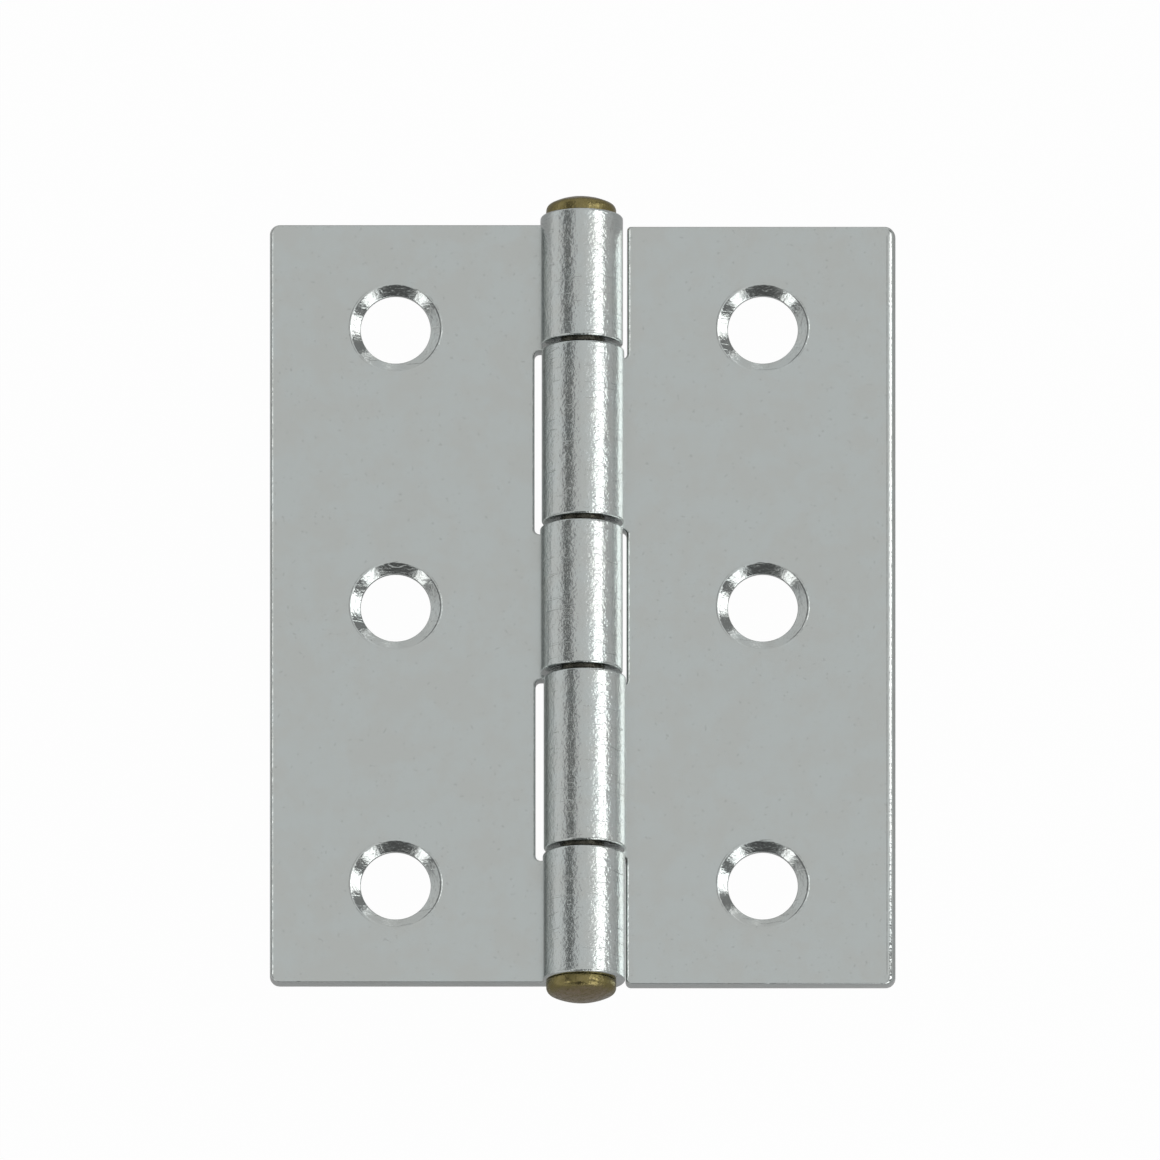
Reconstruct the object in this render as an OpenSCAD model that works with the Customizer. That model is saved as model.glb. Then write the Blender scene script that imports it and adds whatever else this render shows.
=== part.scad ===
// Butt hinge with a rolled five-knuckle barrel and a riveted pin, lying open and flat on its back.
// X runs across the leaves, Y along the pin and Z from the leaves' backs towards the barrel's side.
// The origin lies on the back plane, under the middle of the barrel. All lengths are in millimetres.

/* [Leaves] */
// Length of each leaf along the pin
leaf_length = 62.6; // [56:0.2:90]
// Distance from the pin's axis to a leaf's outer edge
leaf_reach = 25; // [20:0.5:45]
// Thickness of the sheet that both leaves are cut and rolled from
sheet = 1.5; // [1:0.1:2]
// Radius of a leaf's outer corners
corner_radius = 0.8; // [0.6:0.1:4]
// Rounding that blanking leaves along a leaf's front edges
edge_roll = 0.4; // [0.1:0.05:0.55]

/* [Barrel] */
// Distance between the two joints beside the middle knuckle
middle_pitch = 12.4; // [8:0.2:16]
// Distance between the two joints beside each knuckle of the two-knuckle leaf
side_pitch = 14.7; // [10:0.1:17]
// Gap between the ends of neighbouring knuckles
knuckle_gap = 0.4; // [0.2:0.05:0.8]
// Rounding of the outer edges at a knuckle's ends
knuckle_roll = 0.2; // [0.05:0.05:0.4]
// How far the barrel is longer than a leaf, half of it at each end
barrel_excess = 0.6; // [0:0.1:2]
// How far the leaves sit off the barrel's middle, along the pin
leaf_shift = 0.1; // [-0.3:0.05:0.3]
// How far the joints and the screw holes sit off the barrel's middle, along the pin
cut_shift = -0.1; // [-0.3:0.05:0.3]
// Gap between the end of a rolled strip and the front of its own leaf
seam_gap = 0.15; // [0.05:0.05:0.5]

/* [Notches] */
// Room between the three-knuckle leaf and the other leaf's knuckles
three_leaf_room = 0.6; // [0.3:0.1:1.5]
// Room between the two-knuckle leaf and the other leaf's knuckles
two_leaf_room = 0.3; // [0.2:0.05:1.5]
// Radius of the notches' inner corners
notch_radius = 0.4; // [0.1:0.05:0.8]

/* [Pin] */
// Diameter of the pin's shank
pin_diameter = 3.5; // [2.5:0.1:4.5]
// Running clearance between shank and knuckles, on the radius
pin_clearance = 0.05; // [0.02:0.01:0.1]
// Diameter of the riveted heads
head_diameter = 5.7; // [5:0.1:6.2]
// Height of a head's straight side
head_side = 0.6; // [0.2:0.1:1.2]
// Rise of a head's crown above its straight side
head_crown = 1.05; // [0.9:0.05:1.6]
// Radius of the shoulder between a head's side and its crown
head_shoulder = 0.3; // [0.2:0.05:0.75]

/* [Screw holes] */
// Number of screw holes in each leaf
hole_count = 3; // [1:1:3]
// Distance between neighbouring screw holes, along the pin
hole_pitch = 23; // [10:0.5:23.5]
// Distance from the pin's axis to the screw holes of the three-knuckle leaf
three_leaf_hole_offset = 14.95; // [10:0.05:15.5]
// Distance from the pin's axis to the screw holes of the two-knuckle leaf
two_leaf_hole_offset = 14.4; // [10:0.05:15.5]
// Diameter of a screw hole
hole_diameter = 5.5; // [3:0.1:5.8]
// Diameter of the countersink at the leaf's front
sink_diameter = 7.2; // [6.2:0.1:7.5]
// Full angle of the countersink
sink_angle = 120; // [82:1:130]

/* [Hidden] */
$fn = 96;
past = 1; // how far a cutting or clipping shape runs past what it shapes

bore_radius = pin_diameter / 2 + pin_clearance;
barrel_radius = bore_radius + sheet;
barrel_length = leaf_length + barrel_excess;
leaf_low = leaf_shift - leaf_length / 2;
leaf_high = leaf_shift + leaf_length / 2;

// How far the joints lie from the middle one's centre, and both ends of every knuckle along the pin
inner_joint = middle_pitch / 2;
outer_joint = inner_joint + side_pitch;
half_gap = knuckle_gap / 2;
first_knuckle = [-barrel_length / 2, cut_shift - outer_joint - half_gap];
second_knuckle = [cut_shift - outer_joint + half_gap, cut_shift - inner_joint - half_gap];
third_knuckle = [cut_shift - inner_joint + half_gap, cut_shift + inner_joint - half_gap];
fourth_knuckle = [cut_shift + inner_joint + half_gap, cut_shift + outer_joint - half_gap];
fifth_knuckle = [cut_shift + outer_joint + half_gap, barrel_length / 2];

// A strip is rolled until its outer edge all but meets the front of its own leaf
curl_angle = 270 + asin((bore_radius - seam_gap) / barrel_radius);

// The crown's arc runs smoothly into the shoulder's, so its radius follows from the other sizes
head_radius = head_diameter / 2;
shoulder_x = head_radius - head_shoulder;
crown_radius = (shoulder_x ^ 2 + head_crown ^ 2 - head_shoulder ^ 2) / (head_crown - head_shoulder) / 2;

// What a quarter-round edge of radius r takes off a square corner at the origin
module edge_waste(r) {
    difference() {
        translate([-past, -past]) square(r + past);
        translate([r, r]) circle(r);
        translate([r, -2 * past]) square(r + 2 * past);
        translate([-2 * past, r]) square(r + 2 * past);
    }
}

// Section of a knuckle's strip: X through the sheet to the barrel's outside, Y along the pin
module strip_section(knuckle) {
    difference() {
        translate([0, knuckle[0]]) square([sheet, knuckle[1] - knuckle[0]]);
        translate([sheet, knuckle[0]]) mirror([1, 0]) edge_waste(knuckle_roll);
        translate([sheet, knuckle[1]]) rotate(180) edge_waste(knuckle_roll);
    }
}

// Outline of a leaf's flat part, from its outer edge at the left to the roots of its notches
module plate_outline(knuckles, root) {
    difference() {
        translate([-leaf_reach, leaf_low]) square([leaf_reach - root, leaf_length]);
        translate([-leaf_reach, leaf_low]) edge_waste(corner_radius);
        translate([-leaf_reach, leaf_high]) mirror([0, 1]) edge_waste(corner_radius);
        if (knuckles[0][0] > leaf_low)
            translate([-root, leaf_low]) mirror([1, 0]) edge_waste(notch_radius);
        if (knuckles[len(knuckles) - 1][1] < leaf_high)
            translate([-root, leaf_high]) rotate(180) edge_waste(notch_radius);
    }
}

// The flat sheet that a leaf is cut from, with its front edges rolled over on three sides
module rolled_sheet() {
    intersection() {
        translate([0, leaf_high + past, 0])
            rotate([90, 0, 0])
                linear_extrude(leaf_length + 2 * past)
                    difference() {
                        translate([-leaf_reach, 0]) square([leaf_reach, sheet]);
                        translate([-leaf_reach, sheet]) mirror([0, 1]) edge_waste(edge_roll);
                    }
        translate([-leaf_reach - past, 0, 0])
            rotate([90, 0, 90])
                linear_extrude(leaf_reach + past)
                    difference() {
                        translate([leaf_low, 0]) square([leaf_length, sheet]);
                        translate([leaf_low, sheet]) mirror([0, 1]) edge_waste(edge_roll);
                        translate([leaf_high, sheet]) rotate(180) edge_waste(edge_roll);
                    }
    }
}

// Straight stretch of a knuckle's strip, from the notches' roots to where the roll begins
module tongue(knuckle, root) {
    translate([-root, 0, sheet])
        rotate([-90, 0, 0])
            rotate([90, 0, 90])
                linear_extrude(root) strip_section(knuckle);
}

// Rolled stretch of a knuckle's strip, once round the pin
module curl(knuckle) {
    translate([0, 0, barrel_radius])
        rotate([90, 0, 0])
            rotate([0, 0, -90])
                rotate_extrude(angle = curl_angle)
                    translate([bore_radius, 0]) mirror([0, 1]) strip_section(knuckle);
}

// Rounded inner corners of the notches beside a knuckle, where the leaf goes on past it
module notch_corners(knuckle, root) {
    if (knuckle[0] > leaf_low)
        translate([-root, knuckle[0], 0])
            mirror([0, 1, 0])
                linear_extrude(sheet) edge_waste(notch_radius);
    if (knuckle[1] < leaf_high)
        translate([-root, knuckle[1], 0])
            linear_extrude(sheet) edge_waste(notch_radius);
}

module screw_hole() {
    depth = (sink_diameter - hole_diameter) / 2 / tan(sink_angle / 2);
    translate([0, 0, -past]) cylinder(h = sheet + 2 * past, d = hole_diameter);
    translate([0, 0, sheet - depth])
        cylinder(h = 2 * depth, d1 = hole_diameter, d2 = 2 * sink_diameter - hole_diameter);
}

// A leaf that reaches to the left from the pin, with the knuckles that it is given
module leaf(knuckles, root, hole_offset) {
    difference() {
        union() {
            intersection() {
                union() {
                    linear_extrude(sheet) plate_outline(knuckles, root);
                    for (knuckle = knuckles) {
                        tongue(knuckle, root);
                        notch_corners(knuckle, root);
                    }
                }
                rolled_sheet();
            }
            for (knuckle = knuckles) curl(knuckle);
        }
        for (i = [0 : hole_count - 1])
            translate([-hole_offset, cut_shift + (i - (hole_count - 1) / 2) * hole_pitch, 0])
                screw_hole();
    }
}

// Half of a riveted head's outline: a straight side, a rounded shoulder and a low crown
module head_section() {
    crown_y = head_side + head_crown - crown_radius;
    intersection() {
        square([head_radius + past, head_side + head_crown + past]);
        union() {
            square([head_radius, head_side]);
            translate([shoulder_x, head_side]) circle(head_shoulder);
            intersection() {
                translate([0, crown_y]) circle(crown_radius);
                polygon([
                    [0, crown_y],
                    [2 * shoulder_x, 2 * head_side - crown_y],
                    [0, 2 * head_side + 2 * crown_radius]
                ]);
            }
        }
    }
}

module three_knuckle_leaf() {
    color([0.67, 0.69, 0.68])
        leaf(
            [first_knuckle, third_knuckle, fifth_knuckle],
            barrel_radius + three_leaf_room,
            three_leaf_hole_offset
        );
}

module two_knuckle_leaf() {
    color([0.66, 0.68, 0.67])
        mirror([1, 0, 0])
            leaf(
                [second_knuckle, fourth_knuckle],
                barrel_radius + two_leaf_room,
                two_leaf_hole_offset
            );
}

module hinge_pin() {
    color([0.62, 0.52, 0.3])
        translate([0, 0, barrel_radius])
            rotate([90, 0, 0]) {
                cylinder(h = barrel_length, d = pin_diameter, center = true);
                for (end = [0, 1])
                    mirror([0, 0, end])
                        translate([0, 0, barrel_length / 2])
                            rotate_extrude() head_section();
            }
}

three_knuckle_leaf();
two_knuckle_leaf();
hinge_pin();
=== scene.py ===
import math
import bmesh
import bpy
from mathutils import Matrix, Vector


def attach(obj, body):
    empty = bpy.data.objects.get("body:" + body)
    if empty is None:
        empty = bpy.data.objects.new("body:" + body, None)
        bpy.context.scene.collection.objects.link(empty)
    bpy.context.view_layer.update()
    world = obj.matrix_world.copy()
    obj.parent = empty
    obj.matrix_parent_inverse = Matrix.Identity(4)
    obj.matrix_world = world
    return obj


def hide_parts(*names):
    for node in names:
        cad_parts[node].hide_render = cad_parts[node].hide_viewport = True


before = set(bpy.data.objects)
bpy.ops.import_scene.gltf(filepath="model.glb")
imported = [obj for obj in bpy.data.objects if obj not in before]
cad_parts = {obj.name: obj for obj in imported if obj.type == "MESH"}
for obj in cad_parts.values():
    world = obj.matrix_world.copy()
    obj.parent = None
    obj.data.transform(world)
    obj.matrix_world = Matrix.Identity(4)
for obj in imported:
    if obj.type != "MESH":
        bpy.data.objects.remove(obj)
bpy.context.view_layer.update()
print("frame loaded:", ", ".join(sorted(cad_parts)))

mm = 0.001
tiny = 0.001        # lengths in millimetres and angles in radians below this count as none
axisHeight = 3.3    # of the pin's axis above the leaves' backs, in millimetres


def feed(tree, socket, value):
    # a socket takes either another node's output or a plain value
    if isinstance(value, bpy.types.NodeSocket):
        tree.links.new(value, socket)
    elif value is not None:
        socket.default_value = value


def calc(tree, operation, first, second=None, third=None):
    node = tree.nodes.new("ShaderNodeMath")
    node.operation = operation
    for socket, value in zip(node.inputs, (first, second, third)):
        feed(tree, socket, value)
    return node.outputs[0]


def mapRange(tree, value, low, high, newLow, newHigh, smooth=False):
    node = tree.nodes.new("ShaderNodeMapRange")
    node.interpolation_type = "SMOOTHSTEP" if smooth else "LINEAR"
    for name, item in (("Value", value), ("From Min", low), ("From Max", high),
                       ("To Min", newLow), ("To Max", newHigh)):
        feed(tree, node.inputs[name], item)
    return node.outputs["Result"]


def noise(tree, place, scale, detail=2.0, roughness=0.5, seed=0.0):
    node = tree.nodes.new("ShaderNodeTexNoise")
    node.noise_dimensions = "4D"
    for name, item in (("Vector", place), ("Scale", scale), ("Detail", detail),
                       ("Roughness", roughness), ("W", seed)):
        feed(tree, node.inputs[name], item)
    return node.outputs["Fac"]


def blend(tree, share, first, second):
    # inputs 6 and 7 and output 2 are the mix node's colours, as it has sockets for other types too
    node = tree.nodes.new("ShaderNodeMix")
    node.data_type = "RGBA"
    feed(tree, node.inputs[0], share)
    feed(tree, node.inputs[6], first)
    feed(tree, node.inputs[7], second)
    return node.outputs[2]


def addSockets(tree, side, rows):
    for name, kind in rows:
        tree.interface.new_socket(name=name, in_out=side, socket_type="NodeSocket" + kind)


# the camera is square to the pin, leans 15 degrees from straight above and has no perspective

cameraSetup = {
    "tilt": math.radians(15),
    "pixels": 1160,
    "pixelsPerMm": 12.51,
    "axisAt": (582.7, 599.7),   # where the middle of the pin's axis shows in the picture
    "axisHeight": axisHeight * mm,
    "away": 0.6,
    "clip": (0.05, 5.0),
}


def makeCamera(c):
    data = bpy.data.cameras.new("viewCamera")
    data.type = "ORTHO"
    data.ortho_scale = c["pixels"] / c["pixelsPerMm"] * mm
    data.clip_start, data.clip_end = c["clip"]
    camera = bpy.data.objects.new("viewCamera", data)
    bpy.context.scene.collection.objects.link(camera)
    up = Vector((0, math.cos(c["tilt"]), math.sin(c["tilt"])))
    back = Vector((0, -math.sin(c["tilt"]), math.cos(c["tilt"])))
    half = c["pixels"] / 2
    right = (half - c["axisAt"][0]) / c["pixelsPerMm"] * mm
    rise = (c["axisAt"][1] - half) / c["pixelsPerMm"] * mm
    aim = Vector((right, 0, c["axisHeight"])) + up * rise
    camera.location = aim + back * c["away"]
    camera.rotation_euler = (c["tilt"], 0, 0)
    bpy.context.scene.camera = camera


makeCamera(cameraSetup)
print("camera set")


# each pattern sets in between two values of its noise

patternEdges = {
    "mottle": (0.35, 0.65),
    "speck": (0.66, 0.74),
    "scratch": (0.7, 0.76),
    "stretch": (0.1, 1.0, 0.1),     # scratches run across the pin and round the barrel
}


def metalSurfaceGroup(edges):
    # two tones mottled over the surface, tiny specks, fine scratches and uneven plating
    tree = bpy.data.node_groups.new("metalSurface", "ShaderNodeTree")
    addSockets(tree, "INPUT", (
        ("Place", "Vector"),
        ("Tone", "Color"),
        ("Other Tone", "Color"),
        ("Speck Tone", "Color"),
        ("Mottle Scale", "Float"),
        ("Speck Scale", "Float"),
        ("Speck Share", "Float"),
        ("Peel Scale", "Float"),
        ("Swell Scale", "Float"),
        ("Swell Share", "Float"),
        ("Scratch Scale", "Float"),
        ("Scratch Depth", "Float"),
        ("Roughness", "Float"),
        ("Roughness Swing", "Float"),
        ("Seed", "Float"),
    ))
    addSockets(tree, "OUTPUT", (("Color", "Color"), ("Roughness", "Float"), ("Height", "Float")))
    given = tree.nodes.new("NodeGroupInput").outputs
    result = tree.nodes.new("NodeGroupOutput").inputs
    place = given["Place"]

    def seedPlus(shift):
        # no two patterns share one slice of the noise
        return calc(tree, "ADD", given["Seed"], shift)

    mottle = noise(tree, place, given["Mottle Scale"], 3.0, 0.6, given["Seed"])
    mottle = mapRange(tree, mottle, *edges["mottle"], 0.0, 1.0, smooth=True)
    speck = noise(tree, place, given["Speck Scale"], 1.0, 0.5, seedPlus(3.7))
    speck = mapRange(tree, speck, *edges["speck"], 0.0, given["Speck Share"], smooth=True)
    color = blend(tree, mottle, given["Tone"], given["Other Tone"])
    color = blend(tree, speck, color, given["Speck Tone"])
    peel = noise(tree, place, given["Peel Scale"], 2.0, 0.55, seedPlus(7.1))
    swell = noise(tree, place, given["Swell Scale"], 1.0, 0.5, seedPlus(9.4))
    height = calc(tree, "MULTIPLY_ADD", swell, given["Swell Share"], peel)
    stretch = tree.nodes.new("ShaderNodeVectorMath")
    stretch.operation = "MULTIPLY"
    tree.links.new(place, stretch.inputs[0])
    stretch.inputs[1].default_value = edges["stretch"]
    scratch = noise(tree, stretch.outputs[0], given["Scratch Scale"], 0.0, 0.5, seedPlus(5.3))
    scratch = mapRange(tree, scratch, *edges["scratch"], 0.0, given["Scratch Depth"], smooth=True)
    height = calc(tree, "SUBTRACT", height, scratch)
    swing = calc(tree, "SUBTRACT", mottle, 0.5)
    roughness = calc(tree, "MULTIPLY_ADD", swing, given["Roughness Swing"], given["Roughness"])
    tree.links.new(color, result["Color"])
    tree.links.new(roughness, result["Roughness"])
    tree.links.new(height, result["Height"])
    return tree


metalSurface = metalSurfaceGroup(patternEdges)


def newMaterial(name):
    material = bpy.data.materials.new(name)
    material.use_nodes = True
    tree = material.node_tree
    tree.nodes.clear()
    shader = tree.nodes.new("ShaderNodeBsdfPrincipled")
    output = tree.nodes.new("ShaderNodeOutputMaterial")
    tree.links.new(shader.outputs[0], output.inputs["Surface"])
    return material, tree, shader


def placeGroup(tree, group, values):
    node = tree.nodes.new("ShaderNodeGroup")
    node.node_tree = group
    for name, value in values.items():
        feed(tree, node.inputs[name], value)
    return node


platingLook = {
    "Tone": (0.506, 0.55, 0.54, 1),
    "Other Tone": (0.5, 0.528, 0.508, 1),
    "Speck Tone": (0.34, 0.366, 0.356, 1),
    "Mottle Scale": 350.0,
    "Speck Scale": 3200.0,
    "Speck Share": 0.4,
    "Peel Scale": 4600.0,
    "Swell Scale": 1900.0,
    "Swell Share": 1.1,
    "Scratch Scale": 4500.0,
    "Scratch Depth": 0.6,
    "Roughness": 0.14,
    "Roughness Swing": 0.04,
}

peelSizes = {
    "depth": 0.05,              # height of the peel on the barrel
    "edgeShare": 0.4,           # how much of it edges and countersinks have
    "flatShare": 0.06,          # and the flat leaves
    "from": 1.6,                # the peel grows between these two heights above the back plane
    "to": 2.4,
    "matt": 0.08,               # roughness that the flats have on top
}

clearFilm = {
    "index": 2.0,               # thin clear film over the zinc, glossier than the zinc itself
    "roughness": 0.07,
}


def makePlating(seed):
    material, tree, shader = newMaterial("zincPlating%d" % seed)
    place = tree.nodes.new("ShaderNodeTexCoord").outputs["Object"]
    surface = placeGroup(tree, metalSurface, dict(platingLook, Place=place, Seed=float(seed)))
    spot = tree.nodes.new("ShaderNodeSeparateXYZ")
    tree.links.new(place, spot.inputs[0])
    gloss = tree.nodes.new("ShaderNodeAttribute")
    gloss.attribute_name = "gloss"
    gloss = gloss.outputs["Fac"]
    low = mapRange(tree, gloss, 0.0, 1.0, peelSizes["flatShare"], peelSizes["edgeShare"])
    rolled = mapRange(tree, spot.outputs[2], peelSizes["from"] * mm, peelSizes["to"] * mm,
                      low, 1.0, smooth=True)
    bump = tree.nodes.new("ShaderNodeBump")
    bump.inputs["Strength"].default_value = 1.0
    bump.inputs["Distance"].default_value = peelSizes["depth"] * mm
    height = calc(tree, "MULTIPLY", surface.outputs["Height"], rolled)
    tree.links.new(height, bump.inputs["Height"])
    matt = mapRange(tree, gloss, 0.0, 1.0, peelSizes["matt"], 0.0)
    tree.links.new(bump.outputs[0], shader.inputs["Normal"])
    tree.links.new(surface.outputs["Color"], shader.inputs["Base Color"])
    roughness = calc(tree, "ADD", surface.outputs["Roughness"], matt)
    tree.links.new(roughness, shader.inputs["Roughness"])
    shader.inputs["Metallic"].default_value = 1.0
    shader.inputs["Coat Weight"].default_value = 1.0
    shader.inputs["Coat Roughness"].default_value = clearFilm["roughness"]
    shader.inputs["Coat IOR"].default_value = clearFilm["index"]
    return material


brassLook = {
    "Tone": (0.3, 0.238, 0.165, 1),
    "Other Tone": (0.235, 0.19, 0.105, 1),
    "Speck Tone": (0.12, 0.09, 0.05, 1),
    "Mottle Scale": 2300.0,
    "Speck Scale": 3000.0,
    "Speck Share": 0.5,
    "Peel Scale": 4000.0,
    "Swell Scale": 900.0,
    "Swell Share": 2.5,
    "Scratch Scale": 4000.0,
    "Scratch Depth": 0.0,
    "Roughness": 0.27,
    "Roughness Swing": 0.12,
    "Seed": 5.0,
}

brassParts = {
    "rimTone": (0.235, 0.2, 0.075, 1),      # yellower round the edge of a head
    "rimFrom": 2.05,                        # it sets in between these two distances from the axis
    "rimTo": 2.75,
    "rimShare": 0.8,
    "shankPaintedShade": (0.13, 0.122, 0.1, 1),     # painted shade: darkened where only the joints between the knuckles show it
    "shankEnd": 31.5,
    "shankFade": 0.1,
    "bump": 0.045,
}


def makeBrass():
    material, tree, shader = newMaterial("agedBrass")
    place = tree.nodes.new("ShaderNodeTexCoord").outputs["Object"]
    surface = placeGroup(tree, metalSurface, dict(brassLook, Place=place))
    spot = tree.nodes.new("ShaderNodeSeparateXYZ")
    tree.links.new(place, spot.inputs[0])
    rise = calc(tree, "SUBTRACT", spot.outputs[2], axisHeight * mm)
    across = calc(tree, "MULTIPLY", spot.outputs[0], spot.outputs[0])
    out = calc(tree, "SQRT", calc(tree, "MULTIPLY_ADD", rise, rise, across))
    rim = mapRange(tree, out, brassParts["rimFrom"] * mm, brassParts["rimTo"] * mm,
                   0.0, brassParts["rimShare"], smooth=True)
    bump = tree.nodes.new("ShaderNodeBump")
    bump.inputs["Strength"].default_value = 1.0
    bump.inputs["Distance"].default_value = brassParts["bump"] * mm
    tree.links.new(surface.outputs["Height"], bump.inputs["Height"])
    tree.links.new(bump.outputs[0], shader.inputs["Normal"])
    along = calc(tree, "ABSOLUTE", spot.outputs[1])
    end, fade = brassParts["shankEnd"], brassParts["shankFade"]
    head = mapRange(tree, along, (end - fade) * mm, end * mm, 0.0, 1.0)
    color = blend(tree, rim, surface.outputs["Color"], brassParts["rimTone"])
    # painted shade: the shank takes a dark tone up to the heads, for the shade in the joints
    color = blend(tree, head, brassParts["shankPaintedShade"], color)
    tree.links.new(color, shader.inputs["Base Color"])
    tree.links.new(surface.outputs["Roughness"], shader.inputs["Roughness"])
    shader.inputs["Metallic"].default_value = 1.0
    return material


print("surface group ready")


# each leaf starts as a flat comb-shaped blank, whose strips a node tree then rolls round the pin

leafSizes = {
    "reach": 25.0,
    "sheet": 1.5,
    "barrelRadius": axisHeight,     # the barrel's outside runs into the leaves' backs
    "curl": 300.0,          # how far a strip is rolled, in degrees
    "rollStep": 3.0,        # degrees between two stations of a rolled strip
    "tipSteps": 2,          # the last steps of a strip are left to its rounded tip
    "easeAngle": 60.0,      # degrees over which a knuckle moves off to the side
    "cornerRadius": 0.8,
    "notchRadius": 0.4,
    "tipRadius": 0.3,
    "bottomRoll": 0.08,     # rounding of the front edge at the lower end of a leaf
    "topRoll": 0.18,        # and at the upper end
    "backRoll": 0.1,        # rounding of all the back edges of the flat part
    "boreRoll": 0.1,        # rounding of a strip's sides in the bore
    "knuckleRoll": 0.2,     # and on the outside of the barrel
    "hold": 0.05,           # narrow flat band that keeps a plate's shading flat up to its edge
    "glossRun": 1.5,        # the matt flat turns glossy over this length of a strip
    "margin": 0.1,          # points this far past a knuckle's ends still sway with it
    "slack": 0.01,          # and points this far past a tip's corner still flare with its side
    "edgeSteps": 5,
    "cornerSteps": 8,
}

holeSizes = {
    "along": (-23.0, 0.0, 23.0),
    "radius": 2.8,
    "drop": 0.05,           # how far the punched hole sits below the countersink's middle
    "breakOut": 0.22,       # how much wider the hole is at the back
    "breakHeight": 0.7,
    "sinkRadius": 3.62,
    "sinkAngle": 120.0,
    "rim": 0.08,            # rounding of the hole's edges at the front and back
    "soft": 0.03,           # and between the wall and the countersink
    "rounds": 96,
}

threeKnuckles = {
    "name": "threeKnuckleLeaf",
    "node": "three_knuckle_leaf",
    "body": "fixed_leaf",
    "low": -31.16,
    "high": 31.52,
    "strips": ((-31.16, -21.1), (-6.1, 5.92), (21.07, 31.52)),     # along the pin, while flat
    "knuckles": ((-31.6, -21.1), (-6.03, 5.92), (21.07, 31.6)),     # and where they are rolled
    "sways": (0.1, -0.1, -0.08),        # how far each knuckle's outside sits off the axis, across
    "roots": (3.9, 3.77, 3.85, 3.9),    # from the axis to the notches, along the pin
    "outerRoll": 0.2,                   # rounding of the front edge opposite the barrel
    "notchRoll": 0.12,                  # and in the notches
    "holeOffset": 14.95,
    "hand": 1.0,
    "seed": 1,
}

twoKnuckles = {
    "name": "twoKnuckleLeaf",
    "node": "two_knuckle_leaf",
    "body": "swinging_leaf",
    "low": -31.3,
    "high": 31.38,
    "strips": ((-20.7, -6.6), (6.32, 20.45)),
    "knuckles": ((-20.7, -6.43), (6.32, 20.67)),
    "sways": (0.18, 0.02),
    "roots": (3.42, 3.5, 3.55),
    "rootCorners": (0.45, 0.3),         # corner radii beside the barrel, at both ends of the leaf
    "outerRoll": 0.65,
    "notchRoll": 0.2,
    "holeOffset": 14.4,
    "hand": -1.0,
    "seed": 2,
}


def blankCorners(s, leaf):
    # corners of the blank, counter-clockwise: x, y, fillet radius, then the front and back
    # rounding of the edge that leaves the corner
    roots, reach, low, high = leaf["roots"], -s["reach"], leaf["low"], leaf["high"]
    tip = math.radians(s["curl"]) * s["barrelRadius"]
    bottom = (s["bottomRoll"], s["backRoll"])
    top = (s["topRoll"], s["backRoll"])
    outer = (leaf["outerRoll"], s["backRoll"])
    notch = (leaf["notchRoll"], s["backRoll"])
    strip = (s["boreRoll"], s["knuckleRoll"])
    corners = [(reach, low, s["cornerRadius"]) + bottom]
    for i, (start, stop) in enumerate(leaf["strips"]):
        root = -roots[i]
        if start > low:
            if i == 0:
                corners.append((root, low, leaf["rootCorners"][0]) + notch)
            corners.append((root, start, s["notchRadius"]) + strip)
        else:
            corners.append((root / 2, low, -root / 4) + strip)
        corners.append((tip, start, s["tipRadius"]) + strip)
        corners.append((tip, stop, s["tipRadius"]) + strip)
        root = -roots[i + 1]
        if stop < high:
            corners.append((root, stop, s["notchRadius"]) + notch)
            if i == len(leaf["strips"]) - 1:
                corners.append((root, high, leaf["rootCorners"][1]) + top)
        else:
            corners.append((root / 2, high, -root / 4) + top)
    corners.append((reach, high, s["cornerRadius"]) + outer)
    return corners


def blankPath(s, corners):
    # points along the outline: x, y, inward normal, front and back rounding; and for each its
    # station on a strip, or -1 where it lies on none
    steps = s["cornerSteps"]
    arcs = []
    for i, (x, y, radius, front, back) in enumerate(corners):
        before, after = corners[i - 1], corners[(i + 1) % len(corners)]
        frontBefore, backBefore = before[3:]
        here = Vector((x, y))
        come = (here - Vector(before[:2])).normalized()
        leave = (Vector(after[:2]) - here).normalized()
        turn = math.atan2(come.x * leave.y - come.y * leave.x, come.dot(leave))
        straight = abs(turn) < tiny     # only the rounding changes there, over twice the radius
        inward = Vector((-come.y, come.x))
        side = 1 if turn > 0 else -1
        centre = here - come * radius * math.tan(abs(turn) / 2) + inward * radius * side
        arc = []
        for k in range(steps + 1):
            share = k / steps
            a = turn * share
            normal = Vector((inward.x * math.cos(a) - inward.y * math.sin(a),
                             inward.x * math.sin(a) + inward.y * math.cos(a)))
            if straight:
                spot = here + come * radius * (2 * share - 1)
            else:
                spot = centre - normal * radius * side
            arc.append((spot.x, spot.y, normal.x, normal.y,
                        frontBefore + (front - frontBefore) * share,
                        backBefore + (back - backBefore) * share))
        arcs.append(arc)
    spacing = math.radians(s["rollStep"]) * s["barrelRadius"]
    last = int(round(s["curl"] / s["rollStep"])) - s["tipSteps"]
    path, stations = [], []
    for i, arc in enumerate(arcs):
        path.extend(arc)
        stations.extend([-1] * len(arc))
        following = arcs[(i + 1) % len(arcs)][0]
        (fromX, fromY), (toX, toY) = arc[-1][:2], following[:2]
        if abs(fromY - toY) > tiny or max(fromX, toX) < 0:
            continue
        run = range(last + 1) if toX > fromX else range(last, -1, -1)
        path.extend((k * spacing, fromY) + following[2:] for k in run)
        stations.extend(run)
    return path, stations


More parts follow.
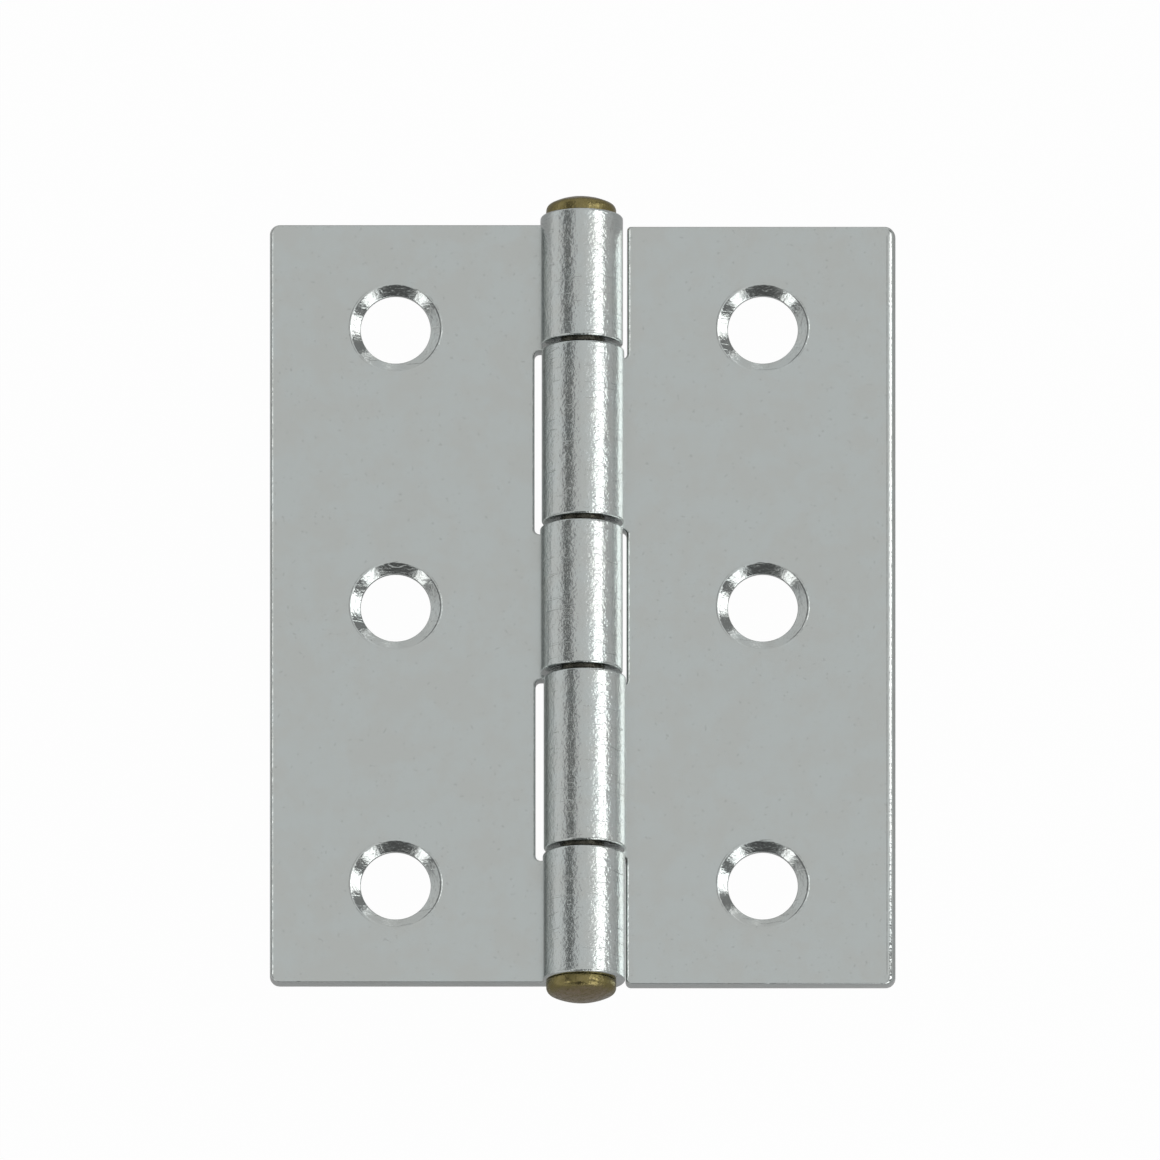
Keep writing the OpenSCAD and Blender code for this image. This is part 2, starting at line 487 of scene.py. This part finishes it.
def edgeRings(s):
    # each ring: its side, the shares of that side's rounding by which it lies inwards and off the
    # face, and 1 where it lies on the face, further in by the holding band
    rings = [("back", 1.0, 0.0, 1)]
    for k in range(s["edgeSteps"] + 1):
        a = math.pi / 2 * k / s["edgeSteps"]
        rings.append(("back", 1 - math.sin(a), 1 - math.cos(a), 0))
    for k in range(s["edgeSteps"] + 1):
        a = math.pi / 2 * k / s["edgeSteps"]
        rings.append(("front", 1 - math.cos(a), 1 - math.sin(a), 0))
    rings.append(("front", 1.0, 0.0, 1))
    return rings


def holeRings(s, h):
    # radius, height and drop, from the back face over the wall and the countersink to the front;
    # the shares of rim and soft set a point or two on each rounding
    sheet, bore, sink, rim, hold = s["sheet"], h["radius"], h["sinkRadius"], h["rim"], s["hold"]
    half = math.radians(h["sinkAngle"] / 2)
    out, up = math.sin(half), math.cos(half)
    knee = sheet - (sink - bore) / math.tan(half)
    back = bore + h["breakOut"]
    soft = h["soft"]
    rings = [
        (back + rim + hold, 0), (back + rim, 0), (back + rim * 0.3, rim * 0.3), (back, rim),
        (bore, h["breakHeight"]), (bore, knee - soft - hold), (bore, knee - soft),
        (bore + soft * 0.2, knee - soft * 0.1), (bore + soft * out, knee + soft * up),
        (bore + (soft + hold) * out, knee + (soft + hold) * up),
        (sink - (rim + hold) * out, sheet - (rim + hold) * up),
        (sink - rim * out, sheet - rim * up), (sink - rim * 0.2, sheet - rim * 0.22),
        (sink + rim * 0.35, sheet - rim * 0.06), (sink + rim, sheet), (sink + rim + hold, sheet),
    ]
    dropped = []
    for radius, z in rings:
        share = min(1.0, max(0.0, (sink - radius) / (sink - bore))) if z > knee else 1.0
        dropped.append((radius, z, h["drop"] * share))
    return dropped


def makeBlank(s, h, leaf):
    mesh = bpy.data.meshes.new(leaf["name"])
    bm = bmesh.new()
    sway = bm.verts.layers.float.new("sway")
    flare = bm.verts.layers.float.new("flare")
    gloss = bm.verts.layers.float.new("gloss")
    path, stations = blankPath(s, blankCorners(s, leaf))
    count = len(path)

    def swayAt(y):
        for (start, end), amount in zip(leaf["knuckles"], leaf["sways"]):
            if start - s["margin"] < y < end + s["margin"]:
                return amount * mm * leaf["hand"]
        return 0.0

    def flareAt(y):
        # a strip's sides move a little along the pin as they leave the plate
        for strip, knuckle in zip(leaf["strips"], leaf["knuckles"]):
            for flat, rolled in zip(strip, knuckle):
                if abs(y - flat) < s["tipRadius"] + s["slack"]:
                    return (rolled - flat) * mm
        return 0.0

    def glossAt(x, onFace):
        # flats are matt; edges, countersinks and what is rolled are glossy
        return min(1.0, max(0.0, x / s["glossRun"])) if onFace else 1.0

    rings = []
    for side, share, rise, band in edgeRings(s):
        ring = []
        for x, y, nx, ny, front, back in path:
            size = front if side == "front" else back
            inset = size * share + s["hold"] * band
            z = s["sheet"] - size * rise if side == "front" else size * rise
            vert = bm.verts.new(((x + nx * inset) * mm, (y + ny * inset) * mm, z * mm))
            vert[sway] = swayAt(y)
            vert[flare] = flareAt(y)
            vert[gloss] = glossAt(x, band)
            ring.append(vert)
        rings.append(ring)
    for lower, upper in zip(rings, rings[1:]):
        for i in range(count):
            k = (i + 1) % count
            bm.faces.new((lower[i], lower[k], upper[k], upper[i]))

    turns = [2 * math.pi * k / h["rounds"] for k in range(h["rounds"])]
    holes = []
    for along in h["along"]:
        wall = []
        for radius, z, drop in holeRings(s, h):
            wall.append([bm.verts.new(((-leaf["holeOffset"] + radius * math.cos(a)) * mm,
                                       (along - drop + radius * math.sin(a)) * mm, z * mm))
                         for a in turns])
        for ring in wall[1:-1]:
            for vert in ring:
                vert[gloss] = 1.0
        for lower, upper in zip(wall, wall[1:]):
            for i in range(h["rounds"]):
                k = (i + 1) % h["rounds"]
                bm.faces.new((lower[k], lower[i], upper[i], upper[k]))
        holes.append(wall)

    # pairs of path points that face each other across a strip, from its root to its tip
    pairs, waiting = [], []
    for i, station in enumerate(stations):
        if station < 0:
            continue
        if waiting and stations[waiting[-1]] == station:
            pairs.append((waiting.pop(), i))
        else:
            waiting.append(i)
    for ring, holeLoop in ((rings[0], 0), (rings[-1], -1)):
        inStrip = set()
        for out, back in pairs:
            if stations[out] == max(stations):
                bm.faces.new([ring[i] for i in range(out, back + 1)])
            else:
                bm.faces.new((ring[out], ring[out + 1], ring[back - 1], ring[back]))
            if stations[out] == 0:
                inStrip.update(range(out, back))
        edges = []
        for i in range(count):
            if i not in inStrip:
                edges.append(bm.edges.get((ring[i], ring[(i + 1) % count])))
        for out, back in pairs:
            if stations[out] == 0:
                edges.append(bm.edges.get((ring[out], ring[back])))
        for wall in holes:
            loop = wall[holeLoop]
            for i in range(h["rounds"]):
                edges.append(bm.edges.get((loop[i], loop[(i + 1) % h["rounds"]])))
        bmesh.ops.triangle_fill(bm, edges=edges, use_beauty=True)
    bmesh.ops.recalc_face_normals(bm, faces=bm.faces)
    bm.to_mesh(mesh)
    bm.free()
    return mesh


def buildRollTree():
    tree = bpy.data.node_groups.new("rollStrips", "GeometryNodeTree")
    addSockets(tree, "INPUT", (
        ("Blank", "Geometry"),
        ("Barrel Radius", "Float"),
        ("Sheet", "Float"),
        ("Ease Angle", "Float"),
        ("Hand", "Float"),
        ("Plating", "Material"),
    ))
    addSockets(tree, "OUTPUT", (("Leaf", "Geometry"),))
    given = tree.nodes.new("NodeGroupInput").outputs
    result = tree.nodes.new("NodeGroupOutput").inputs
    spot = tree.nodes.new("ShaderNodeSeparateXYZ")
    tree.links.new(tree.nodes.new("GeometryNodeInputPosition").outputs[0], spot.inputs[0])
    x, y, z = spot.outputs
    radius = given["Barrel Radius"]
    angle = calc(tree, "DIVIDE", calc(tree, "MAXIMUM", x, 0.0), radius)
    arm = calc(tree, "SUBTRACT", radius, z)
    flatX = calc(tree, "MINIMUM", x, 0.0)
    rolledX = calc(tree, "MULTIPLY_ADD", arm, calc(tree, "SINE", angle), flatX)
    drop = calc(tree, "MULTIPLY", arm, calc(tree, "COSINE", angle))
    rolledZ = calc(tree, "SUBTRACT", radius, drop)
    # the outside of a knuckle sways a little, while its bore stays on the pin
    sway = tree.nodes.new("GeometryNodeInputNamedAttribute")
    sway.inputs["Name"].default_value = "sway"
    outside = calc(tree, "SUBTRACT", 1.0, calc(tree, "DIVIDE", z, given["Sheet"]))
    ease = mapRange(tree, angle, 0.0, given["Ease Angle"], 0.0, 1.0, smooth=True)
    shift = calc(tree, "MULTIPLY", sway.outputs[0], calc(tree, "MULTIPLY", outside, ease))
    rolledX = calc(tree, "MULTIPLY", calc(tree, "ADD", rolledX, shift), given["Hand"])
    flare = tree.nodes.new("GeometryNodeInputNamedAttribute")
    flare.inputs["Name"].default_value = "flare"
    widened = calc(tree, "MULTIPLY_ADD", flare.outputs[0], ease, y)
    joined = tree.nodes.new("ShaderNodeCombineXYZ")
    for socket, value in zip(joined.inputs, (rolledX, widened, rolledZ)):
        tree.links.new(value, socket)
    move = tree.nodes.new("GeometryNodeSetPosition")
    tree.links.new(given["Blank"], move.inputs["Geometry"])
    tree.links.new(joined.outputs[0], move.inputs["Position"])
    flip = tree.nodes.new("GeometryNodeFlipFaces")
    tree.links.new(move.outputs[0], flip.inputs[0])
    tree.links.new(calc(tree, "LESS_THAN", given["Hand"], 0.0), flip.inputs["Selection"])
    real = tree.nodes.new("GeometryNodeRealizeInstances")
    tree.links.new(flip.outputs[0], real.inputs[0])
    finish = tree.nodes.new("GeometryNodeSetMaterial")
    tree.links.new(real.outputs[0], finish.inputs["Geometry"])
    tree.links.new(given["Plating"], finish.inputs["Material"])
    tree.links.new(finish.outputs[0], result["Leaf"])
    return tree


def bakeTree(name, mesh, tree, values):
    # runs a node tree over a mesh and keeps the plain result, smooth and facing outwards
    helper = bpy.data.objects.new(name + "Blank", mesh)
    bpy.context.scene.collection.objects.link(helper)
    modifier = helper.modifiers.new("shape", "NODES")
    modifier.node_group = tree
    inputs = [item for item in tree.interface.items_tree if item.in_out == "INPUT"]
    names = {item.name: item.identifier for item in inputs}
    for key, value in values.items():
        modifier[names[key]] = value
    graph = bpy.context.evaluated_depsgraph_get()
    made = bpy.data.meshes.new_from_object(helper.evaluated_get(graph))
    helper.modifiers.clear()
    bpy.data.objects.remove(helper)
    bpy.data.meshes.remove(mesh)
    bm = bmesh.new()
    bm.from_mesh(made)
    bmesh.ops.recalc_face_normals(bm, faces=bm.faces)
    for face in bm.faces:
        face.smooth = True
    bm.to_mesh(made)
    bm.free()
    made.name = name
    for layer in ("sway", "flare"):
        if layer in made.attributes:
            made.attributes.remove(made.attributes[layer])
    piece = bpy.data.objects.new(name, made)
    bpy.context.scene.collection.objects.link(piece)
    return piece


rollTree = buildRollTree()
for leaf in (threeKnuckles, twoKnuckles):
    plating = makePlating(leaf["seed"])
    piece = bakeTree(leaf["name"], makeBlank(leafSizes, holeSizes, leaf), rollTree, {
        "Barrel Radius": leafSizes["barrelRadius"] * mm,
        "Sheet": leafSizes["sheet"] * mm,
        "Ease Angle": math.radians(leafSizes["easeAngle"]),
        "Hand": leaf["hand"],
        "Plating": plating,
    })
    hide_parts(leaf["node"])
    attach(piece, leaf["body"])
    print(leaf["name"], "rolled:", len(piece.data.polygons), "faces")


# the pin is a plain shank with the same upset head at both ends

pinSizes = {
    "shank": 1.75,
    "halfBarrel": 31.6,
    "height": axisHeight,
    "seatRun": 0.3,         # last stretch of the shank before a head
    "seatHold": 0.05,       # narrow bands that keep the shading sharp at the seat
    "seatRound": 0.12,      # rounding of a head's edge at the seat
    "seatBevel": 0.035,     # how far its middle is set back from the square corner
    "headRadius": 2.82,
    "headSide": 0.5,
    "crown": 1.14,
    "crownSteps": 12,
    "shoulder": 0.6,
    "shoulderSteps": 7,
    "headSway": -0.12,      # the heads were hammered a little off the axis
    "swayRun": 0.04,        # and step aside over this last stretch of the shank
    "hammered": 0.03,       # depth of the dents
    "hammerScale": 900.0,
    "hammerSeed": 3.0,
    "dentFrom": 0.1,        # they set in between these two heights above the seat
    "dentTo": 0.7,
    "weld": 0.001,          # points this close in the middle are joined
    "rounds": 72,
}


def headProfile(p):
    # half of the pin from its middle to the crown: distance along the pin and radius
    shank, start, rim, side = p["shank"], p["halfBarrel"], p["headRadius"], p["headSide"]
    hold, bevel, seatRound = p["seatHold"], p["seatBevel"], p["seatRound"]
    shoulder, crown = p["shoulder"], p["crown"]
    flatX = rim - shoulder
    arc = (flatX ** 2 + crown ** 2 - shoulder ** 2) / (crown - shoulder) / 2
    points = [
        (0, shank), (start - p["seatRun"], shank), (start - hold, shank),
        (start, shank + hold), (start, shank + 2 * hold),
        (start, rim - seatRound - hold), (start, rim - seatRound),
        (start + bevel, rim - bevel), (start + seatRound, rim),
    ]
    centre = start + side + crown - arc
    lean = math.atan2(flatX, arc - crown)
    for k in range(1, p["shoulderSteps"] + 1):
        a = (math.pi / 2 - lean) * k / p["shoulderSteps"]
        points.append((start + side + shoulder * math.sin(a), flatX + shoulder * math.cos(a)))
    for k in range(1, p["crownSteps"]):
        a = lean * (1 - k / p["crownSteps"])
        points.append((centre + arc * math.cos(a), arc * math.sin(a)))
    return points, start + side + crown


def makeHalfPin(p):
    mesh = bpy.data.meshes.new("rivetedPin")
    bm = bmesh.new()
    points, apex = headProfile(p)
    turns = [2 * math.pi * k / p["rounds"] for k in range(p["rounds"])]
    rings = []
    for along, radius in points:
        rings.append([bm.verts.new((radius * math.cos(a) * mm, along * mm,
                                    (p["height"] + radius * math.sin(a)) * mm)) for a in turns])
    for lower, upper in zip(rings, rings[1:]):
        for i in range(p["rounds"]):
            k = (i + 1) % p["rounds"]
            bm.faces.new((lower[i], upper[i], upper[k], lower[k]))
    pole = bm.verts.new((0, apex * mm, p["height"] * mm))
    for i in range(p["rounds"]):
        bm.faces.new((rings[-1][i], pole, rings[-1][(i + 1) % p["rounds"]]))
    bm.to_mesh(mesh)
    bm.free()
    return mesh


def buildPinTree():
    # turns a copy of the half pin end for end, joins both and dents the heads a little
    tree = bpy.data.node_groups.new("joinHeads", "GeometryNodeTree")
    addSockets(tree, "INPUT", (
        ("Half Pin", "Geometry"),
        ("Weld", "Float"),
        ("Barrel End", "Float"),
        ("Hammered", "Float"),
        ("Hammer Scale", "Float"),
        ("Dent From", "Float"),
        ("Dent To", "Float"),
        ("Head Sway", "Float"),
        ("Sway Run", "Float"),
        ("Seed", "Float"),
        ("Brass", "Material"),
    ))
    addSockets(tree, "OUTPUT", (("Pin", "Geometry"),))
    given = tree.nodes.new("NodeGroupInput").outputs
    result = tree.nodes.new("NodeGroupOutput").inputs
    turn = tree.nodes.new("GeometryNodeTransform")
    turn.inputs["Rotation"].default_value = (0, 0, math.pi)
    tree.links.new(given["Half Pin"], turn.inputs["Geometry"])
    join = tree.nodes.new("GeometryNodeJoinGeometry")
    tree.links.new(given["Half Pin"], join.inputs[0])
    tree.links.new(turn.outputs[0], join.inputs[0])
    weld = tree.nodes.new("GeometryNodeMergeByDistance")
    tree.links.new(given["Weld"], weld.inputs["Distance"])
    tree.links.new(join.outputs[0], weld.inputs["Geometry"])
    position = tree.nodes.new("GeometryNodeInputPosition").outputs[0]
    spot = tree.nodes.new("ShaderNodeSeparateXYZ")
    tree.links.new(position, spot.inputs[0])
    past = calc(tree, "SUBTRACT", calc(tree, "ABSOLUTE", spot.outputs[1]), given["Barrel End"])
    onHead = mapRange(tree, past, given["Dent From"], given["Dent To"], 0.0, 1.0, smooth=True)
    dent = noise(tree, position, given["Hammer Scale"], 1.0, 0.5, given["Seed"])
    depth = calc(tree, "MULTIPLY", calc(tree, "MULTIPLY", dent, onHead), given["Hammered"])
    push = tree.nodes.new("ShaderNodeVectorMath")
    push.operation = "SCALE"
    tree.links.new(tree.nodes.new("GeometryNodeInputNormal").outputs[0], push.inputs[0])
    tree.links.new(calc(tree, "MULTIPLY", depth, -1.0), push.inputs["Scale"])
    aside = tree.nodes.new("ShaderNodeCombineXYZ")
    swayStart = calc(tree, "MULTIPLY", given["Sway Run"], -1.0)
    onSeat = mapRange(tree, past, swayStart, 0.0, 0.0, 1.0)
    tree.links.new(calc(tree, "MULTIPLY", onSeat, given["Head Sway"]), aside.inputs[0])
    offset = tree.nodes.new("ShaderNodeVectorMath")
    tree.links.new(push.outputs[0], offset.inputs[0])
    tree.links.new(aside.outputs[0], offset.inputs[1])
    move = tree.nodes.new("GeometryNodeSetPosition")
    tree.links.new(weld.outputs[0], move.inputs["Geometry"])
    tree.links.new(offset.outputs[0], move.inputs["Offset"])
    real = tree.nodes.new("GeometryNodeRealizeInstances")
    tree.links.new(move.outputs[0], real.inputs[0])
    finish = tree.nodes.new("GeometryNodeSetMaterial")
    tree.links.new(real.outputs[0], finish.inputs["Geometry"])
    tree.links.new(given["Brass"], finish.inputs["Material"])
    tree.links.new(finish.outputs[0], result["Pin"])
    return tree


pin = bakeTree("rivetedPin", makeHalfPin(pinSizes), buildPinTree(), {
    "Weld": pinSizes["weld"] * mm,
    "Barrel End": pinSizes["halfBarrel"] * mm,
    "Hammered": pinSizes["hammered"] * mm,
    "Hammer Scale": pinSizes["hammerScale"],
    "Dent From": pinSizes["dentFrom"] * mm,
    "Dent To": pinSizes["dentTo"] * mm,
    "Head Sway": pinSizes["headSway"] * mm,
    "Sway Run": pinSizes["swayRun"] * mm,
    "Seed": pinSizes["hammerSeed"],
    "Brass": makeBrass(),
})
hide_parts("hinge_pin")
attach(pin, "fixed_leaf")
print("pin joined:", len(pin.data.polygons), "faces")


# pale floor, even room, a dark card at the left and a soft box at the right

studio = {
    "floorSize": 0.7,
    "floorDrop": 22 * mm,       # room for the leaf that swings down past flat
    "floorTone": (0.52, 0.52, 0.52, 1),
    "floorShow": 0.98,          # how far the floor shows plain white to the camera
    "floorMirrored": 0.08,      # and how far in reflections, which rather show it lit and shaded
    "mostLight": 3.0,           # the ramp holds its levels as shares of this
    # brightness of the room by angle about the pin's direction, from straight up, in degrees
    "round": (
        (-180, 0.67), (-110, 0.7), (-95, 0.78), (-75, 0.78), (-62, 0.7), (-53, 0.54),
        (-48, 0.16), (-34, 0.16), (-29, 0.45), (-20, 0.71), (12, 0.73), (24, 0.86),
        (34, 1.1), (40, 2.8), (60, 2.8), (64, 0.63), (80, 0.58), (100, 0.61), (180, 0.67),
    ),
    # cards in that room: from and to angle, from and to share of the direction along the pin,
    # the soft borders of both, and brightness
    "cards": (
        (28, 76, -0.34, 0.0, 8, 0.08, 0.2),
        (28, 76, 0.4, 0.75, 8, 0.08, 0.25),
        (-180, 180, 0.78, 1.0, 1, 0.1, 0.67),
        (34, 52, -0.54, -0.33, 4, 0.06, 2.0),
        (-52, -34, -0.54, -0.33, 4, 0.06, 2.0),
        (-36, 36, -1.0, -0.56, 6, 0.08, 0.1),
    ),
}


def angleRamp(tree, angle, stops, most):
    node = tree.nodes.new("ShaderNodeValToRGB")
    ramp = node.color_ramp
    for i, (degrees, level) in enumerate(stops):
        spot = (degrees + 180) / 360
        if i == 0:
            stop = ramp.elements[0]
        elif i == len(stops) - 1:
            stop = ramp.elements[-1]
        else:
            stop = ramp.elements.new(spot)
        stop.position = spot
        stop.color = (level / most, level / most, level / most, 1)
    turn = mapRange(tree, angle, -180.0, 180.0, 0.0, 1.0)
    tree.links.new(turn, node.inputs[0])
    return calc(tree, "MULTIPLY", node.outputs[0], most)


def softWindow(tree, value, low, high, soft):
    rise = mapRange(tree, value, low - soft / 2, low + soft / 2, 0.0, 1.0, smooth=True)
    fall = mapRange(tree, value, high - soft / 2, high + soft / 2, 1.0, 0.0, smooth=True)
    return calc(tree, "MULTIPLY", rise, fall)


def makeRoom(c):
    world = bpy.data.worlds.new("room")
    bpy.context.scene.world = world
    world.use_nodes = True
    tree = world.node_tree
    tree.nodes.clear()
    spot = tree.nodes.new("ShaderNodeSeparateXYZ")
    tree.links.new(tree.nodes.new("ShaderNodeTexCoord").outputs["Generated"], spot.inputs[0])
    angle = calc(tree, "DEGREES", calc(tree, "ARCTAN2", spot.outputs[0], spot.outputs[2]))
    level = angleRamp(tree, angle, c["round"], c["mostLight"])
    for fromAngle, toAngle, fromY, toY, softAngle, softY, brightness in c["cards"]:
        share = calc(tree, "MULTIPLY", softWindow(tree, angle, fromAngle, toAngle, softAngle),
                     softWindow(tree, spot.outputs[1], fromY, toY, softY))
        level = calc(tree, "MULTIPLY_ADD", calc(tree, "SUBTRACT", brightness, level), share, level)
    seen = tree.nodes.new("ShaderNodeLightPath").outputs["Is Camera Ray"]
    level = calc(tree, "MAXIMUM", level, seen)
    glow = tree.nodes.new("ShaderNodeBackground")
    glow.inputs["Strength"].default_value = 1.0
    tree.links.new(level, glow.inputs["Color"])
    output = tree.nodes.new("ShaderNodeOutputWorld")
    tree.links.new(glow.outputs[0], output.inputs["Surface"])


def makeFloor(c):
    mesh = bpy.data.meshes.new("paleFloor")
    half, low = c["floorSize"] / 2, -c["floorDrop"]
    corners = [(-half, -half, low), (half, -half, low), (half, half, low), (-half, half, low)]
    mesh.from_pydata(corners, [], [(0, 1, 2, 3)])
    floor = bpy.data.objects.new("paleFloor", mesh)
    bpy.context.scene.collection.objects.link(floor)
    material = bpy.data.materials.new("paleFloor")
    material.use_nodes = True
    tree = material.node_tree
    tree.nodes.clear()
    matt = tree.nodes.new("ShaderNodeBsdfDiffuse")
    matt.inputs["Color"].default_value = c["floorTone"]
    glow = tree.nodes.new("ShaderNodeEmission")
    path = tree.nodes.new("ShaderNodeLightPath").outputs
    mirrored = calc(tree, "MAXIMUM", path["Is Glossy Ray"], path["Is Transmission Ray"])
    mirrored = calc(tree, "MULTIPLY", mirrored, c["floorMirrored"])
    shown = calc(tree, "MULTIPLY", path["Is Camera Ray"], c["floorShow"])
    mix = tree.nodes.new("ShaderNodeMixShader")
    tree.links.new(calc(tree, "MAXIMUM", shown, mirrored), mix.inputs[0])
    tree.links.new(matt.outputs[0], mix.inputs[1])
    tree.links.new(glow.outputs[0], mix.inputs[2])
    output = tree.nodes.new("ShaderNodeOutputMaterial")
    tree.links.new(mix.outputs[0], output.inputs["Surface"])
    mesh.materials.append(material)


makeRoom(studio)
makeFloor(studio)
bpy.context.scene.view_settings.view_transform = "Standard"
print("studio lit")
